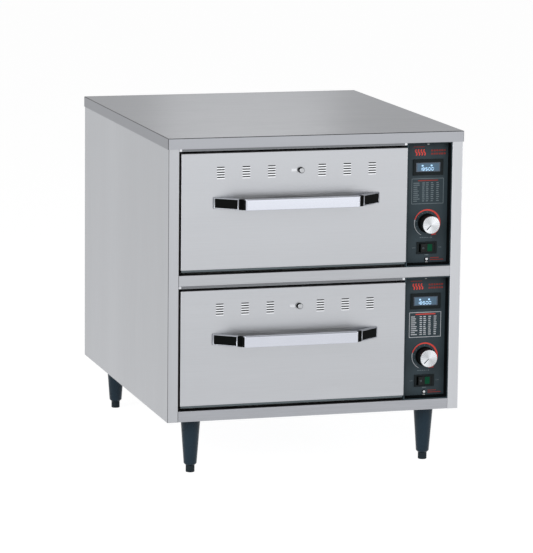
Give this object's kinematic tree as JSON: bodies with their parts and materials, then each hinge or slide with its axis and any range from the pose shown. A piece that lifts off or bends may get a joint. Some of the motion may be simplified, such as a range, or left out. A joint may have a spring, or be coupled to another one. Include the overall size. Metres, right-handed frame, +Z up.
{
  "type": "countertop warming drawer",
  "caption": "Free-standing steel warming cabinet on tapered legs, with stacked pull-out pan drawers and a recessed control panel beside each.",
  "frame": {"origin": "on the floor, under the middle of the whole outline with drawers closed", "axes": "+X to the right seen from the front, +Y from the front to the back, +Z up"},
  "size_m": [0.561, 0.71, 0.622],
  "materials": {
    "stainless": "satin brushed",
    "liner": "plain mill finish",
    "chrome": "polished",
    "black_plastic": "fine texture",
    "panel_paint": "satin",
    "leg_paint": "satin",
    "window": "clear",
    "foot_rubber": "matt",
    "wool": "matt",
    "sheath": "heat-tinted",
    "zinc": "bright"
  },
  "bodies": {
    "cabinet": {"top_cover": "stainless", "left_side_panel": "stainless", "right_side_panel": "stainless", "rear_panel": "stainless", "base_pan": "stainless", "header_rail": "stainless", "middle_rail": "stainless", "bottom_rail": "stainless", "bay_liner": "liner", "partition_wall": "liner", "bay_floors": "liner", "bay_insulation": "wool", "heating_elements": "sheath", "element_supports": "liner", "upper_control_panel": "panel_paint", "lower_control_panel": "panel_paint", "display_bezels": "black_plastic", "display_lenses": "window", "thermostats": "zinc", "switch_housings": "black_plastic", "slide_outer_members": "zinc", "legs": "leg_paint", "leg_plates": "zinc", "cord_gland": "black_plastic", "terminal_block": "black_plastic", "panel_screws": "zinc"},
    "front_left_foot": {"front_left_foot": "foot_rubber"},
    "front_right_foot": {"front_right_foot": "foot_rubber"},
    "rear_left_foot": {"rear_left_foot": "foot_rubber"},
    "rear_right_foot": {"rear_right_foot": "foot_rubber"},
    "lower_drawer": {"lower_drawer_front": "stainless", "lower_drawer_liner": "liner", "lower_front_insulation": "wool", "lower_handle_brackets": "chrome", "lower_handle_insets": "black_plastic", "lower_handle_grip": "chrome", "lower_drawer_frame": "stainless", "lower_food_pan": "stainless", "lower_slide_inner_members": "zinc"},
    "lower_slide_middle_members": {"lower_slide_middle_members": "zinc"},
    "lower_vent_shutter": {"lower_vent_shutter": "chrome"},
    "lower_rocker": {"lower_rocker": "black_plastic"},
    "lower_button": {"lower_button": "chrome"},
    "lower_dial": {"lower_knob": "black_plastic", "lower_knob_cap": "chrome"},
    "upper_drawer": {"upper_drawer_front": "stainless", "upper_drawer_liner": "liner", "upper_front_insulation": "wool", "upper_handle_brackets": "chrome", "upper_handle_insets": "black_plastic", "upper_handle_grip": "chrome", "upper_drawer_frame": "stainless", "upper_food_pan": "stainless", "upper_slide_inner_members": "zinc"},
    "upper_slide_middle_members": {"upper_slide_middle_members": "zinc"},
    "upper_vent_shutter": {"upper_vent_shutter": "chrome"},
    "upper_rocker": {"upper_rocker": "black_plastic"},
    "upper_button": {"upper_button": "chrome"},
    "upper_dial": {"upper_knob": "black_plastic", "upper_knob_cap": "chrome"}
  },
  "joints": [
    {"name": "front_left_foot_screw", "type": "slide", "parent": "cabinet", "child": "front_left_foot", "axis": [0, 0, -1], "range_m": [0, 0.02]},
    {"name": "front_right_foot_screw", "type": "slide", "parent": "cabinet", "child": "front_right_foot", "axis": [0, 0, -1], "range_m": [0, 0.02]},
    {"name": "rear_left_foot_screw", "type": "slide", "parent": "cabinet", "child": "rear_left_foot", "axis": [0, 0, -1], "range_m": [0, 0.02]},
    {"name": "rear_right_foot_screw", "type": "slide", "parent": "cabinet", "child": "rear_right_foot", "axis": [0, 0, -1], "range_m": [0, 0.02]},
    {"name": "lower_drawer_slide", "type": "slide", "parent": "cabinet", "child": "lower_drawer", "axis": [0, -1, 0], "range_m": [0, 0.54]},
    {"name": "lower_slide_middle_run", "type": "slide", "parent": "cabinet", "child": "lower_slide_middle_members", "axis": [0, -1, 0], "range_m": [0, 0.27]},
    {"name": "lower_vent_shutter_slide", "type": "slide", "parent": "lower_drawer", "child": "lower_vent_shutter", "axis": [-1, 0, 0], "range_m": [0, 0.015]},
    {"name": "lower_dial_turn", "type": "hinge", "parent": "cabinet", "child": "lower_dial", "pos_m": [0.218, -0.293, 0.2], "axis": [0, 1, 0], "range_deg": [0, 270]},
    {"name": "lower_rocker_tilt", "type": "hinge", "parent": "cabinet", "child": "lower_rocker", "pos_m": [0.218, -0.29, 0.154], "axis": [0, 0, -1], "range_deg": [0, 16]},
    {"name": "lower_button_press", "type": "slide", "parent": "cabinet", "child": "lower_button", "axis": [0, 1, 0], "range_m": [0, 0.0015], "stiffness_N_per_m": 200, "springref_m": -0.001},
    {"name": "upper_drawer_slide", "type": "slide", "parent": "cabinet", "child": "upper_drawer", "axis": [0, -1, 0], "range_m": [0, 0.54]},
    {"name": "upper_slide_middle_run", "type": "slide", "parent": "cabinet", "child": "upper_slide_middle_members", "axis": [0, -1, 0], "range_m": [0, 0.27]},
    {"name": "upper_vent_shutter_slide", "type": "slide", "parent": "upper_drawer", "child": "upper_vent_shutter", "axis": [-1, 0, 0], "range_m": [0, 0.015]},
    {"name": "upper_dial_turn", "type": "hinge", "parent": "cabinet", "child": "upper_dial", "pos_m": [0.218, -0.293, 0.45], "axis": [0, 1, 0], "range_deg": [0, 270]},
    {"name": "upper_rocker_tilt", "type": "hinge", "parent": "cabinet", "child": "upper_rocker", "pos_m": [0.218, -0.29, 0.404], "axis": [0, 0, -1], "range_deg": [0, 16]},
    {"name": "upper_button_press", "type": "slide", "parent": "cabinet", "child": "upper_button", "axis": [0, 1, 0], "range_m": [0, 0.0015], "stiffness_N_per_m": 200, "springref_m": -0.001}
  ],
  "couplings": [
    {"joint": "lower_slide_middle_run", "follows": "lower_drawer_slide", "ratio": 0.5},
    {"joint": "upper_slide_middle_run", "follows": "upper_drawer_slide", "ratio": 0.5}
  ]
}
